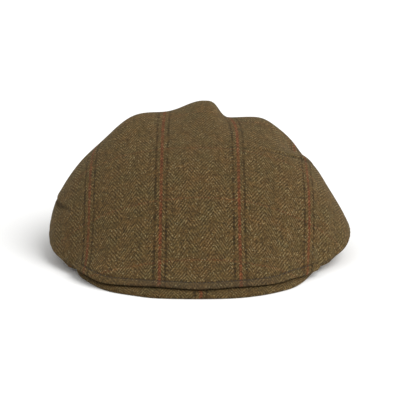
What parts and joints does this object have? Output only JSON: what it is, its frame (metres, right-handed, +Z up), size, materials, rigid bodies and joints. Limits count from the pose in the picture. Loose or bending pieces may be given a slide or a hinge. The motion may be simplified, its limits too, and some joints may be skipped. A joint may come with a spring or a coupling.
{
  "type": "flat cap",
  "caption": "Soft flat cap of herringbone tweed with an overcheck: the top is drawn forward over a stiff peak, side panels are tucked under to the rim, and a plain sweatband lines the opening.",
  "frame": {"origin": "on the surface the cap lies on, under the middle of its width and length", "axes": "+Z up; the peak points to -Y; +X is the cap's right side as seen from in front of the peak"},
  "size_m": [0.2476, 0.2798, 0.1099],
  "materials": {
    "tweed": "brown-olive wool tweed, herringbone weave with thin red and dark overcheck lines, matt and slightly hairy",
    "band": "dark brown plain cotton twill, matt"
  },
  "bodies": {
    "root": {"crown_top": "tweed", "side_left": "tweed", "side_right": "tweed", "peak": "tweed", "sweatband": "band"}
  },
  "joints": []
}
